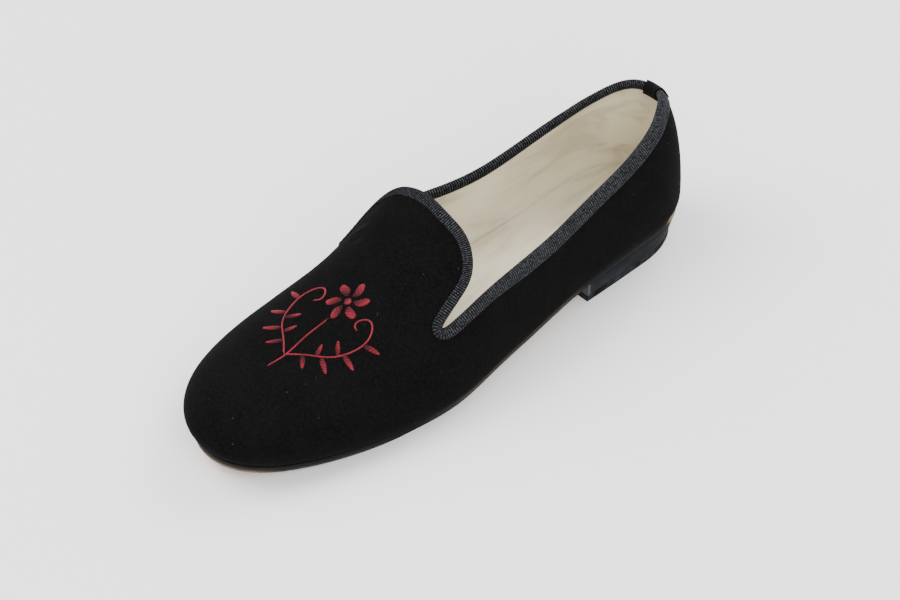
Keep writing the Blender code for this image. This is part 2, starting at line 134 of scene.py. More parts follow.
# Grosgrain
RIB_PITCH = 1.26 * MM
RIB_DEPTH = 0.18 * MM
SAMPLES_PER_RIB = 4
YARN_PITCH = 0.45 * MM
TWILL_PITCH = 0.6 * MM

Section = namedtuple("Section", "station width lateral medial centre rise crown")
SECTIONS = (
    Section(0.0, HEEL_WIDTH, 0.500, 0.500, 0.000, HEEL_CROWN, 1.000),
    Section(0.1, HEEL_WIDTH, 0.508, 0.508, 0.000, HEEL_CROWN, 0.915),
    Section(0.2, HEEL_WIDTH, 0.533, 0.487, 0.000, HEEL_CROWN, 0.970),
    Section(0.3, HEEL_WIDTH, 0.570, 0.476, -0.015, INSTEP_CROWN, 0.937),
    Section(0.4, BALL_WIDTH, 0.420, 0.364, -0.024, INSTEP_CROWN, 1.000),
    Section(0.5, BALL_WIDTH, 0.492, 0.447, -0.054, INSTEP_CROWN, 0.985),
    Section(0.6, BALL_WIDTH, 0.504, 0.492, -0.026, INSTEP_CROWN, 0.711),
    Section(0.7, BALL_WIDTH, 0.502, 0.502, -0.040, TOE_CROWN, 1.946),
    Section(0.8, BALL_WIDTH, 0.485, 0.482, -0.051, TOE_CROWN, 1.416),
    Section(0.9, BALL_WIDTH, 0.479, 0.458, -0.050, TOE_CROWN, 1.080),
    Section(1.0, BALL_WIDTH, 0.482, 0.457, -0.006, TOE_CROWN, 0.690),
)

SoleLine = namedtuple("SoleLine", "station heel spring")
SOLE_LINE = (
    SoleLine(0.00, 1.00, 0.00),
    SoleLine(0.10, 1.00, 0.00),
    SoleLine(0.20, 0.95, 0.00),
    SoleLine(0.30, 0.75, 0.00),
    SoleLine(0.40, 0.42, 0.00),
    SoleLine(0.50, 0.22, 0.00),
    SoleLine(0.60, 0.03, 0.00),
    SoleLine(0.65, 0.00, 0.00),
    SoleLine(0.72, 0.00, 0.00),
    SoleLine(0.80, 0.00, 0.11),
    SoleLine(0.90, 0.00, 0.40),
    SoleLine(1.00, 0.00, 1.00),
)

Quarter = namedtuple("Quarter", "station lateral medial")
QUARTERS = (
    Quarter(0.00, 1.000, 1.000),
    Quarter(0.04, 0.998, 0.992),
    Quarter(0.10, 0.945, 0.943),
    Quarter(0.18, 0.886, 0.888),
    Quarter(0.27, 0.824, 0.811),
    Quarter(0.36, 0.752, 0.743),
    Quarter(0.405, 0.733, 0.720),
    Quarter(0.45, 0.721, 0.692),
    Quarter(0.50, 0.703, 0.645),
)

Tongue = namedtuple("Tongue", "lateral_station lateral medial_station medial")
TONGUE = (
    Tongue(0.592, 0.564, 0.556, 0.600),
    Tongue(0.608, 0.548, 0.572, 0.582),
    Tongue(0.570, 0.531, 0.554, 0.556),
    Tongue(0.526, 0.497, 0.530, 0.500),
    Tongue(0.511, 0.395, 0.513, 0.372),
    Tongue(0.511, 0.209, 0.509, 0.200),
    Tongue(0.509, 0.000, 0.509, 0.000),
)


class Spline:
    """Natural cubic spline through knots. The values are numbers or points."""

    def __init__(self, knots, values):
        self.knots = np.asarray(knots, float)
        self.values = np.asarray(values, float)
        gaps = np.diff(self.knots)
        matrix = np.eye(len(self.knots))
        turns = np.zeros_like(self.values)
        for i in range(1, len(self.knots) - 1):
            matrix[i, i - 1:i + 2] = gaps[i - 1], 2 * (gaps[i - 1] + gaps[i]), gaps[i]
            before = (self.values[i] - self.values[i - 1]) / gaps[i - 1]
            after = (self.values[i + 1] - self.values[i]) / gaps[i]
            turns[i] = 6 * (after - before)
        self.bends = np.linalg.solve(matrix, turns)

    def __call__(self, at):
        at = np.asarray(at, float)
        i = np.clip(np.searchsorted(self.knots, at) - 1, 0, len(self.knots) - 2)
        gap = self.knots[i + 1] - self.knots[i]
        done = at - self.knots[i]
        left = gap - done
        if self.values.ndim > 1:
            gap, done, left = gap[..., None], done[..., None], left[..., None]
        bend = (self.bends[i] * left**3 + self.bends[i + 1] * done**3) / (6 * gap)
        start = (self.values[i] / gap - self.bends[i] * gap / 6) * left
        end = (self.values[i + 1] / gap - self.bends[i + 1] * gap / 6) * done
        return bend + start + end


def unit(vectors):
    return vectors / np.maximum(np.linalg.norm(vectors, axis=-1, keepdims=True), 1e-12)


def section_spline(size, *shares):
    """Spline along the shoe of a share times its row's named size."""
    stations = [row.station for row in SECTIONS]
    values = [[getattr(row, size) * getattr(row, share) for share in shares] for row in SECTIONS]
    return Spline(stations, values)


WIDTHS = section_spline("width", "lateral", "medial", "centre")
CROWNS = section_spline("rise", "crown")
SOLE_HEIGHTS = Spline(
    [row.station for row in SOLE_LINE],
    [row.heel * HEEL_HEIGHT + row.spring * TOE_SPRING for row in SOLE_LINE],
)


def rounding(distance, reach, power):
    """0 at an end of the last, rising to 1 at the reach, along a superellipse."""
    return (1 - np.clip((reach - distance) / reach, 0, 1)**power) ** (1 / power)


def eased(share):
    """From 0 to 1, level at both ends."""
    share = np.clip(share, 0, 1)
    return share**2 * (3 - 2 * share)


def feather_tuck(along):
    """How far the feather edge lies inside the widest line."""
    return HEEL_TUCK + (FEATHER_TUCK - HEEL_TUCK) * eased(along / TUCK_REACH)


def outsole_inset(along):
    """How far the outsole's edge lies inside the widest line."""
    margin = HEEL_MARGIN + (OUTSOLE_MARGIN - HEEL_MARGIN) * eased(along / TUCK_REACH)
    return feather_tuck(along) - margin


def steady(value):
    """A function of the place along that is the same everywhere."""
    return lambda along: np.full_like(along, value)


def centre_line(along):
    return WIDTHS(along / LENGTH)[..., 2]


def half_width(along, side):
    """From the centre line to the widest line, on one side."""
    column, toe_round = (0, TOE_ROUND_LATERAL) if side == LATERAL else (1, TOE_ROUND_MEDIAL)
    heel = rounding(along, HEEL_ROUND, HEEL_POWER)
    toe = rounding(LENGTH - along, toe_round, TOE_POWER)
    return WIDTHS(along / LENGTH)[..., column] * heel * toe


def crown(along):
    """Rise of the last over its widest line, on its ridge."""
    back = rounding(along, BACK_ROUND, BACK_POWER)
    toe = rounding(LENGTH - along, TOE_RISE_ROUND, TOE_RISE_POWER)
    return CROWNS(along / LENGTH)[..., 0] * back * toe


def sole_height(along):
    """Underside of the outsole, which lies flat on the floor under the ball."""
    return np.maximum(SOLE_HEIGHTS(along / LENGTH), 0)


def feather_height(along):
    return sole_height(along) + OUTSOLE_THICKNESS


def last_height(along, across):
    """Height of the last over a plan point inside its widest line."""
    centre = centre_line(along)
    lateral, medial = half_width(along, LATERAL), half_width(along, MEDIAL)
    half = np.maximum(np.where(across >= centre, lateral, medial), PROBE)
    share = np.clip(np.abs(across - centre) / half, 0, 1)
    dome = (1 - share**SIDE_POWER) ** (1 / CROWN_POWER)
    return feather_height(along) + WIDEST_LINE + crown(along) * dome


def lifted(plan):
    """Points of the last over plan points (along, across)."""
    along, across = plan[..., 0], plan[..., 1]
    return np.stack([across, -along, last_height(along, across)], -1)


def normals(points):
    """Outward directions of the last at points inside its widest line."""
    along, across = -points[..., 1], points[..., 0]
    slope_along = last_height(along + PROBE, across) - last_height(along - PROBE, across)
    slope_across = last_height(along, across + PROBE) - last_height(along, across - PROBE)
    rise = np.full_like(slope_along, 2 * PROBE)
    return unit(np.stack([-slope_across, slope_along, rise], -1))


def side_line(side):
    """Dense plan points of the widest line from heel to toe, and their inward directions."""
    along = LENGTH * (1 - np.cos(np.linspace(0, np.pi, DENSE))) / 2
    line = np.stack([along, centre_line(along) + side * half_width(along, side)], 1)
    forward = unit(np.gradient(line, axis=0))
    return line, np.stack([forward[:, 1], -forward[:, 0]], 1) * side


def arc_length(line):
    steps = np.linalg.norm(np.diff(line, axis=0), axis=1)
    return np.concatenate([[0], np.cumsum(steps)])


def side_points(side, inset, count, until):
    """Plan points along one side, moved inwards by the inset, a function of the place along."""
    line, inward = side_line(side)
    keep = line[:, 0] <= until
    length = arc_length(line[keep])
    at = np.linspace(0, length[-1], count)
    moved = (line + inward * inset(line[:, :1]))[keep]
    return np.stack([np.interp(at, length, column) for column in moved.T], 1)


def plan_ring(inset, count=SIDE_STEPS + 1, until=None):
    """Closed plan ring: along the lateral side to the toe, and back along the medial side."""
    end = LENGTH if until is None else until
    lateral = side_points(LATERAL, inset, count, end)
    medial = side_points(MEDIAL, inset, count, end)
    return np.concatenate([lateral, medial[:0:-1] if until else medial[-2:0:-1]])


def at_height(plan, height):
    """Plan points as world points at the given heights."""
    heights = np.broadcast_to(height, plan.shape[:-1])
    return np.stack([plan[..., 1], -plan[..., 0], heights], -1)


SIDEWAYS = [side_line(side)[0][:, 1] for side in (LATERAL, MEDIAL)]
PLACE = np.array([-(SIDEWAYS[0].max() + SIDEWAYS[1].min()) / 2, HEEL_BACK, 0])


def grid_faces(stations, rows, around, closed):
    """Quads of a grid of points [station, row], which may close along either way."""
    i, j = np.meshgrid(
        np.arange(stations if around else stations - 1),
        np.arange(rows if closed else rows - 1),
        indexing="ij",
    )
    i, j = i.ravel(), j.ravel()
    beyond, above = (i + 1) % stations, (j + 1) % rows
    corners = [i * rows + j, i * rows + above, beyond * rows + above, beyond * rows + j]
    return np.stack(corners, 1).tolist()


def make_piece(name, points, faces, finish, merge=True, marks=None):
    """A piece of the shoe from points on the last. Marks are numbers per point for its finish."""
    mesh = bpy.data.meshes.new(name)
    mesh.from_pydata((points.reshape(-1, 3) + PLACE).tolist(), [], faces)
    for key, values in (marks or {}).items():
        mark = mesh.attributes.new(key, "FLOAT", "POINT")
        mark.data.foreach_set("value", np.asarray(values, np.float32).ravel())
    body = bmesh.new()
    body.from_mesh(mesh)
    if merge:
        bmesh.ops.remove_doubles(body, verts=body.verts, dist=MERGE)
        bmesh.ops.dissolve_degenerate(body, edges=body.edges, dist=MERGE)
    bmesh.ops.recalc_face_normals(body, faces=body.faces)
    body.to_mesh(mesh)
    body.free()
    mesh.materials.append(finish)
    mesh.shade_smooth()
    made = bpy.data.objects.new(name, mesh)
    bpy.context.scene.collection.objects.link(made)
    return made


def kept(made, slot, *nodes):
    """The piece rides on the shoe and stands for the CAD nodes. Its slot is not used."""
    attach(made, "root")
    if nodes:
        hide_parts(*nodes)
    return made


def shell(name, outer, inner, finish):
    """Closed body between two grids [station, row] around the shoe, open underneath."""
    stations, rows = outer.shape[:2]
    points = np.concatenate([outer.reshape(-1, 3), inner.reshape(-1, 3)])
    shift = stations * rows
    faces = grid_faces(stations, rows, True, False)
    faces += [[corner + shift for corner in face] for face in faces]
    for i in range(stations):
        here, there = i * rows, (i + 1) % stations * rows
        faces.append([here, there, there + shift, here + shift])
    return make_piece(name, points, faces, finish)


def stacked_rings(name, rings, finish):
    """Closed body through plan rings, marked with each point's share of its thickness there."""
    count = len(rings[0])
    heights = np.stack(rings)[..., 2]
    rise = (heights - heights.min(0)) / np.ptp(heights, axis=0)
    faces = grid_faces(len(rings), count, False, True)
    for base in (0, count * (len(rings) - 1)):
        for i in range(count // 2):
            near, far = (count - i) % count, count - i - 1
            corners = dict.fromkeys((base + i, base + i + 1, base + far, base + near))
            if len(corners) > 2:
                faces.append(list(corners))
    made = make_piece(name, np.stack(rings), faces, finish, marks={"rise": rise})
    made.data.set_sharp_from_angle(angle=SLAB_EDGE_ANGLE)
    return made


def rib_point(side, station, height):
    """Plan point where the last reaches a height, on the rib that starts at an outline station."""
    along = np.array(station * LENGTH)
    start = np.array([along, centre_line(along) + side * half_width(along, side)])
    middle = np.maximum(along, HEEL_ROUND)
    end = np.array([middle, centre_line(middle)])
    share = np.linspace(0, 1, DENSE) ** 2
    rib = start + share[:, None] * (end - start)
    rising = np.maximum.accumulate(last_height(rib[:, 0], rib[:, 1]))
    return start + np.interp(height, rising, share) * (end - start)


def topline_side(side):
    """Plan points of the topline from the back seam to the tongue's tip."""
    name = "lateral" if side == LATERAL else "medial"
    points = [rib_point(side, row.station, getattr(row, name) * BACK_HEIGHT) for row in QUARTERS]
    for row in TONGUE:
        along = getattr(row, name + "_station") * LENGTH
        across = side * getattr(row, name) * TONGUE_WIDTH
        points.append(np.array([along, centre_line(along) + across]))
    return np.array(points)


def topline():
    """Dense closed topline on the last, from the back seam round the lateral side first."""
    lateral, medial = topline_side(LATERAL), topline_side(MEDIAL)
    loop = np.concatenate([lateral, medial[-2:0:-1]])
    overlap = 4
    knots = np.concatenate([loop[-overlap:], loop, loop[:overlap + 1]])
    chords = np.linalg.norm(np.diff(knots, axis=0), axis=1) ** CHORD_POWER
    at = np.concatenate([[0], np.cumsum(chords)])
    curve = Spline(at, knots)
    return lifted(curve(np.linspace(at[overlap], at[overlap + len(loop)], DENSE)[:-1]))


TOPLINE = topline()


def headings(points):
    """Directions on the last at right angles to a closed line, away from the throat."""
    forward = unit(np.roll(points, -1, axis=0) - np.roll(points, 1, axis=0))
    return unit(np.cross(normals(points), forward))


HEADINGS = headings(TOPLINE)


def ribbon_run():
    """Length along the middle of the binding's outer leg, at each point of the topline."""
    ahead = np.roll(TOPLINE, -1, axis=0) - TOPLINE
    turn = np.linalg.norm(np.roll(unit(ahead), -1, axis=0) - unit(ahead), axis=1)
    measure = np.linalg.norm(ahead, axis=1) + turn * BINDING_OUTSIDE / 2
    return np.concatenate([[0], np.cumsum(measure)])


RUN = ribbon_run()


def stations_at(run):
    """Points and headings of the topline where the ribbon's run has the given values."""
    at = np.asarray(run) % RUN[-1]
    i = np.clip(np.searchsorted(RUN, at, side="right") - 1, 0, len(TOPLINE) - 1)
    share = ((at - RUN[i]) / (RUN[i + 1] - RUN[i]))[:, None]
    beyond = (i + 1) % len(TOPLINE)
    points = TOPLINE[i] * (1 - share) + TOPLINE[beyond] * share
    heading = unit(HEADINGS[i] * (1 - share) + HEADINGS[beyond] * share)
    return points, heading


def walk(points, heading, distance):
    """Points moved along the last, each by its distance, their headings kept flat on it."""
    steps = max(1, round(np.abs(distance).max() / WALK_STEP))
    stride = distance[..., None] / steps
    for _ in range(steps):
        normal = normals(points)
        heading = unit(heading - normal * (heading * normal).sum(-1, keepdims=True))
        points = points + heading * stride
        normal = normals(points)
        error = points[..., 2] - last_height(-points[..., 1], points[..., 0])
        points = points - normal * (error * normal[..., 2])[..., None]
    return points, heading


def leg_share(points):
    """Length of the binding's legs at points of the topline, as a share of that on the quarters."""
    narrow = (BINDING_ON_TONGUE - FOLD) / (BINDING_OUTSIDE - FOLD)
    station = -points[..., 1] / LENGTH
    return 1 + (narrow - 1) * eased((station - NARROWS_FROM) / (NARROWS_TO - NARROWS_FROM))


def band(run, profile):
    """Grid of points over the topline [station, row]. The profile holds (distance down from the
    topline, height over the last) pairs, and what lies below the fold narrows with the binding."""
    here, heading = stations_at(run)
    share = leg_share(here)
    reached, done = {}, 0.0
    for distance in sorted({distance for distance, _ in profile}):
        folded = min(distance, FOLD) - min(done, FOLD)
        legs = max(distance, FOLD) - max(done, FOLD)
        if distance != done:
            here, heading = walk(here, heading, folded + legs * share)
        done = distance
        reached[distance] = here, normals(here)
    return np.stack([reached[d][0] + reached[d][1] * height for d, height in profile], 1)


FOLD = (BINDING_PROUD + WALL + LINING_GAP + BINDING_THICKNESS) / 2
WALL_TOP = FOLD - GAP
RECESS = BINDING_PROUD - BINDING_THICKNESS - GAP


def fold_profile(outside, inside, over, radius, leg_steps, arc_steps):
    """Profile of a ribbon's face folded over the wall's edge: a leg, a half circle and a leg."""
    middle = over - radius
    angles = np.linspace(0, np.pi, arc_steps + 1)
    outer_leg = [(at, over) for at in np.linspace(outside, FOLD, leg_steps + 1)[:-1]]
    inner_leg = [(at, over - 2 * radius) for at in np.linspace(FOLD, inside, leg_steps + 1)[1:]]
    half_circle = [(FOLD - radius * np.sin(a), middle + radius * np.cos(a)) for a in angles]
    return outer_leg + half_circle + inner_leg


def ribbon_profile(outside, inside, over, thickness, leg_steps, arc_steps, radius=FOLD):
    """Closed profile of a folded ribbon: its outer face, then its inner face back again."""
    outer = fold_profile(outside, inside, over, radius, leg_steps, arc_steps)
    inner = fold_profile(
        outside, inside, over - thickness, radius - thickness, leg_steps, arc_steps
    )
    return outer, inner[::-1]


def throat_cutter():
    """Cutter of the throat, with the step that the binding's outer leg lies in."""
    run = np.linspace(0, RUN[-1], CUTTER_STEPS, endpoint=False)
    outside = BINDING_OUTSIDE + GAP
    profile = [(outside, CUT_ABOVE), (outside, RECESS), ((outside + WALL_TOP) / 2, RECESS)]
    profile += [(WALL_TOP, RECESS), (WALL_TOP, -CUT_BELOW)]
    grid = band(run, profile)
    lid = grid[:, 0] * (1, 1, 0) + (0, 0, HEEL_CROWN + INSTEP_CROWN)
    base = grid[:, -1] * (1, 1, 0) + (0, 0, BACK_HEIGHT / 2)
    rows = np.concatenate([lid[:, None], grid, base[:, None]], 1)
    stations, columns = rows.shape[:2]
    faces = grid_faces(stations, columns, True, False)
    faces.append([i * columns for i in range(stations)])
    faces.append([i * columns + columns - 1 for i in range(stations)])
    return make_piece("throat_cutter", rows, faces, None)


def cut_throat(made, cutter):
    """Cuts the throat out of a shell for good."""
    cut = made.modifiers.new("throat", "BOOLEAN")
    cut.object = cutter
    cut.operation = "DIFFERENCE"
    cut.solver = "EXACT"
    bpy.context.view_layer.update()
    solved = made.evaluated_get(bpy.context.evaluated_depsgraph_get())
    mesh = bpy.data.meshes.new_from_object(solved)
    made.modifiers.clear()
    made.data = mesh
    mesh.shade_smooth()
    mesh.set_sharp_from_angle(angle=EDGE_ANGLE)


def last_layers(depths):
    """Grids of points [station, row] at depths under the last, from feather edge to ridge."""
    widest = plan_ring(steady(0.0))
    inward = unit(plan_ring(steady(WALL)) - widest)
    feather, tuck = feather_height(widest[:, 0]), feather_tuck(widest[:, :1])
    layers = [[] for _ in depths]
    for angle in np.linspace(LIP_START, np.pi / 2, LIP_STEPS + 1):
        inset = tuck * (1 - np.sin(angle)) / (1 - np.sin(LIP_START))
        rise = GAP + (WIDEST_LINE - GAP) * (1 - np.cos(angle) / np.cos(LIP_START))
        for depth, rows in zip(depths, layers):
            rows.append(at_height(widest + inward * (inset + depth), feather + rise))
    opposite = np.roll(widest[::-1], 1, axis=0)
    share = (widest + opposite)[:, 0] / 2 / LENGTH
    ridge = LENGTH * (RIDGE_START + share * (RIDGE_END - RIDGE_START))
    ridge = np.stack([ridge, centre_line(ridge)], 1)
    for angle in np.linspace(0, np.pi / 2, RIB_STEPS + 1)[1:]:
        points = lifted(widest + (ridge - widest) * (1 - np.cos(angle)))
        for depth, rows in zip(depths, layers):
            rows.append(points - normals(points) * depth)
    return [np.stack(rows, 1) for rows in layers]


def thread_piece(name, paths, ups, width, height, finish, sides=6, variation_and_painted_shade=None):
    """One piece of many threads. Paths and ups are [thread, point, 3]; a number marks each for its
    colour, and in the embroidery that number is painted shade.
    """
    count, steps = paths.shape[:2]
    forward = unit(np.gradient(paths, axis=1))
    across = unit(np.cross(forward, ups))
    up = unit(np.cross(across, forward))
    turn = np.linspace(0, 2 * np.pi, sides, endpoint=False)
    wide = np.broadcast_to(width, (count, steps))[..., None, None] / 2
    tall = np.broadcast_to(height, (count, steps))[..., None, None] / 2
    ring = across[:, :, None] * np.cos(turn)[:, None] * wide
    ring = paths[:, :, None] + ring + up[:, :, None] * np.sin(turn)[:, None] * tall
    one = grid_faces(steps, sides, False, True)
    one += [list(range(sides)), list(range((steps - 1) * sides, steps * sides))]
    faces = [[corner + i * steps * sides for corner in face] for i in range(count) for face in one]
    variation_and_painted_shade = np.arange(count) % 7 / 7 if variation_and_painted_shade is None else variation_and_painted_shade
    marks = {"thread": np.repeat(variation_and_painted_shade, steps * sides)}
    return make_piece(name, ring, faces, finish, False, marks)


# Shader maths

class Value:
    """A socket in a finish. Arithmetic on it adds the Math nodes."""

    def __init__(self, finish, socket):
        self.finish = finish
        self.socket = socket

    def maths(self, operation, *values):
        return self.finish.node("ShaderNodeMath", {"operation": operation}, dict(enumerate(values)))

    def __add__(self, other):
        return self.maths("ADD", self, other)

    def __sub__(self, other):
        return self.maths("SUBTRACT", self, other)

    def __rsub__(self, other):
        return self.maths("SUBTRACT", other, self)

    def __mul__(self, other):
        return self.maths("MULTIPLY", self, other)

    def __truediv__(self, other):
        return self.maths("DIVIDE", self, other)

    __radd__ = __add__
    __rmul__ = __mul__

    def absolute(self):
        return self.maths("ABSOLUTE", self)

    def sine(self):
        return self.maths("SINE", self)

    def ramp(self, low, high, start=0.0, end=1.0):
        """Smoothly from start where this is low to end where it is high."""
        settings = {"interpolation_type": "SMOOTHSTEP"}
        values = {0: self, 1: low, 2: high, 3: start, 4: end}
        return self.finish.node("ShaderNodeMapRange", settings, values)


class Finish:
    """A material, with its shader's fixed values set directly and the rest linked."""

    def __init__(self, name, **fixed):
        self.material = bpy.data.materials.new(name)
        self.material.use_nodes = True
        self.tree = self.material.node_tree
        self.shader = self.tree.nodes["Principled BSDF"]
        for key, value in fixed.items():
            socket = key.replace("_", " ").title().replace("Ior", "IOR")
            self.shader.inputs[socket].default_value = value

    def node(self, kind, settings=None, values=None, output=0):
        """A node of a type, its settings set first, and then its sockets' values or links."""
        made = self.tree.nodes.new(kind)
        for key, value in (settings or {}).items():
            setattr(made, key, value)
        for key, value in (values or {}).items():
            if isinstance(value, Value):
                self.tree.links.new(value.socket, made.inputs[key])
            elif value is not None:
                made.inputs[key].default_value = value
        return Value(self, made.outputs[output])

    def place(self):
        return self.node("ShaderNodeTexCoord", output="Object")

    def axes(self):
        """The three coordinates on the shoe, in metres."""
        split = self.node("ShaderNodeSeparateXYZ", values={0: self.place()})
        return [Value(self, socket) for socket in split.socket.node.outputs]

    def mark(self, name):
        return self.node("ShaderNodeAttribute", {"attribute_name": name}, output="Fac")

    def noise(self, scale, detail=2.0, rough=0.5, vector=None, distortion=0.0):
        values = {"Vector": vector or self.place(), "Scale": scale, "Detail": detail}
        values.update({"Roughness": rough, "Distortion": distortion})
        return self.node("ShaderNodeTexNoise", values=values)

    def stretched(self, x, y, z):
        """Object coordinates stretched for streaks."""
        return self.node("ShaderNodeMapping", values={"Vector": self.place(), "Scale": (x, y, z)})

    def fold(self, crease):
        """1 along the middle of a crease's line on the shoe, falling to 0 at its sides and ends."""
        x, y, z = self.axes()
        start, end = (lifted(np.array(plan)) + PLACE for plan in (crease.start, crease.end))
        middle, line = (start + end) / 2, unit(end - start)
        normal = normals(lifted(np.array(crease.start)))
        aside = unit(np.cross(line, normal))
        offsets = [axis - float(at) for axis, at in zip((x, y, z), middle)]
        along = sum(offset * float(way) for offset, way in zip(offsets, line))
        across = sum(offset * float(way) for offset, way in zip(offsets, aside))
        under = sum(offset * float(way) for offset, way in zip(offsets, normal))
        reach = float(np.linalg.norm(end - start)) / 2
        narrow = across.absolute().ramp(0, crease.width, 1, 0)
        short = along.absolute().ramp(0, reach, 1, 0)
        return narrow * short * under.absolute().ramp(reach, reach * 2, 1, 0)

    def spots(self, scale, size):
        """1 in small spots of random places, 0 between them."""
        cells = self.node("ShaderNodeTexVoronoi", values={"Vector": self.place(), "Scale": scale})
        return cells.ramp(size * 0.5, size, 1, 0)

    def mix(self, share, first, second):
        """Colour from the first to the second by a share."""
        values = {0: share}
        for key, colour in ((6, first), (7, second)):
            values[key] = colour if isinstance(colour, Value) else (*colour, 1)
        return self.node("ShaderNodeMix", {"data_type": "RGBA"}, values, output=2)

    def bump(self, height, depth, strength=1.0, under=None):
        values = {"Height": height, "Distance": depth, "Strength": strength, "Normal": under}
        return self.node("ShaderNodeBump", values=values)

    def paint(self, **links):
        """Links values to the shader's sockets."""
        for key, value in links.items():
            self.tree.links.new(value.socket, self.shader.inputs[key.replace("_", " ").title()])
        return self.material


# Soft folds of the velvet by the tongue, between plan points (along, across) of the last. The
# heights are shares of FOLD_HEIGHT.
Crease = namedtuple("Crease", "start end width height")
CREASES = (
    Crease(
        (0.5888 * LENGTH, -0.368 * BALL_WIDTH), (0.567 * LENGTH, -0.255 * BALL_WIDTH),
        2.4 * MM, 1.0),
    Crease(
        (0.607 * LENGTH, -0.345 * BALL_WIDTH), (0.590 * LENGTH, -0.235 * BALL_WIDTH),
        3.0 * MM, -0.7),
)
FOLD_HEIGHT = 1.2 * MM


def velvet_finish():
    f = Finish("velvet", roughness=0.95, specular_ior_level=0.02, sheen_weight=0.008,
               sheen_roughness=0.45, sheen_tint=(0.75, 0.78, 0.85, 1))
    clouds = f.noise(60, 3, 0.6)
    fibre = f.noise(2600, 2, 0.7)
    grain = f.noise(700, 3, 0.65)
    lint = f.spots(210, 0.075) * f.noise(35).ramp(0.50, 0.62)
    dark = f.mix(clouds.ramp(0.35, 0.68), (0.0018, 0.0018, 0.0019), (0.0028, 0.0028, 0.0029))
    nap = f.mix((fibre * 0.6 + grain * 0.4).ramp(0.38, 0.66), dark, (0.0054, 0.0055, 0.0056))
    colour = f.mix(lint * 0.35, nap, (0.10, 0.10, 0.10))
    folds = sum(f.fold(crease) * crease.height for crease in CREASES)
    # Painted sheen: the raised fold is painted lighter along its ridge.
    colour = f.mix(folds.ramp(0.1, 1) * 0.6, colour, (0.0085, 0.0086, 0.0088))
    height = fibre * 0.5 + grain * 0.5
    soft = f.bump(folds, FOLD_HEIGHT, 0.9)
    return f.paint(base_color=colour, normal=f.bump(height, 0.35 * MM, 0.55, soft))


def lining_finish(name, colour, streak):
    f = Finish(name, roughness=0.62, specular_ior_level=0.35)
    streaks = f.noise(90, 4, 0.6, f.stretched(1.0, 0.16, 1.0), 0.4)
    pores = f.noise(1500, 2, 0.6)
    patches = f.noise(22, 3)
    shade = f.mix(streaks.ramp(0.42, 0.72) * 0.8, colour, streak)
    shade = f.mix(patches.ramp(0.5, 0.8) * 0.35, shade, streak)
    return f.paint(base_color=shade, normal=f.bump(pores + streaks * 0.6, 0.12 * MM, 0.5))


def grosgrain_finish():
    """Ribs across the ribbon and fine yarns along it."""
    f = Finish("grosgrain", roughness=0.8, specular_ior_level=0.06, sheen_weight=0.02,
               sheen_roughness=0.35, sheen_tint=(0.8, 0.86, 1.0, 1))
    run, across = f.mark("run"), f.mark("across")
    rib = (run * (2 * np.pi * MM / RIB_PITCH)).sine() * 0.5 + 0.5
    yarn = (across * (2 * np.pi * MM / YARN_PITCH)).sine() * 0.5 + 0.5
    fuzz = f.noise(1800, 2, 0.6)
    speck = f.noise(1250, 1, 0.5)
    wear = f.noise(45, 3)
    # Painted light and shade: rib tops and yarns lighter, the grooves between them near black.
    painted_rib_light_and_shade = rib.ramp(0.25, 0.85) * (0.55 + 0.45 * yarn)
    colour = f.mix(painted_rib_light_and_shade, (0.0002, 0.0003, 0.0005), (0.036, 0.038, 0.0435))
    glints = speck.ramp(0.50, 0.60) * rib.ramp(0.2, 0.6) * 0.5
    colour = f.mix(glints, colour, (0.064, 0.067, 0.076))
    colour = f.mix(speck.ramp(0.50, 0.38) * 0.65, colour, (0.0010, 0.0012, 0.0018))
    colour = f.mix(wear.ramp(0.45, 0.7) * 0.3, colour, (0.004, 0.0044, 0.0055))
    height = rib * 0.6 + yarn * 0.25 + fuzz * 0.3
    return f.paint(base_color=colour, normal=f.bump(height, 0.16 * MM, 0.6))


def ribbon_finish():
    f = Finish("ribbon", roughness=0.7, specular_ior_level=0.06, sheen_weight=0.01,
               sheen_roughness=0.4)
    run, across = f.mark("run"), f.mark("across")
    twill = ((run + across) * (2 * np.pi * MM / TWILL_PITCH)).sine() * 0.5 + 0.5
    fuzz = f.noise(1600, 2)
    colour = f.mix(twill * 0.5 + fuzz * 0.4, (0.0012, 0.0012, 0.0014), (0.0050, 0.0050, 0.0056))
    return f.paint(base_color=colour, normal=f.bump(twill + fuzz * 0.5, 0.14 * MM, 0.6))


def edge_finish():
    """Raw tan edge of the lining leather under the binding."""
    f = Finish("tan_edge", roughness=0.6, specular_ior_level=0.35)
    patches = f.noise(160, 3)
    colour = f.mix(patches.ramp(0.35, 0.7), (0.30, 0.18, 0.09), (0.16, 0.09, 0.045))
    return f.paint(base_color=colour, normal=f.bump(f.noise(1200, 2), 0.1 * MM, 0.5))


def thread_finish(name, dark, bright, plies):
    """Twisted sewing or embroidery thread, a little different from thread to thread; in the
    embroidery the thread mark also holds painted shade and highlight.
    """
    f = Finish(name, roughness=0.55, specular_ior_level=0.15, sheen_weight=0.03,
               sheen_roughness=0.3)
    thread = f.mark("thread")
    twist = f.noise(plies, 2, 0.5)
    patches = f.noise(140, 2)
    share = thread * 0.7 + patches.ramp(0.35, 0.7) * 0.2
    share = share + twist.ramp(0.4, 0.65) * 0.25 - 0.18
    return f.paint(base_color=f.mix(share, dark, bright), normal=f.bump(twist, 0.1 * MM, 0.6))


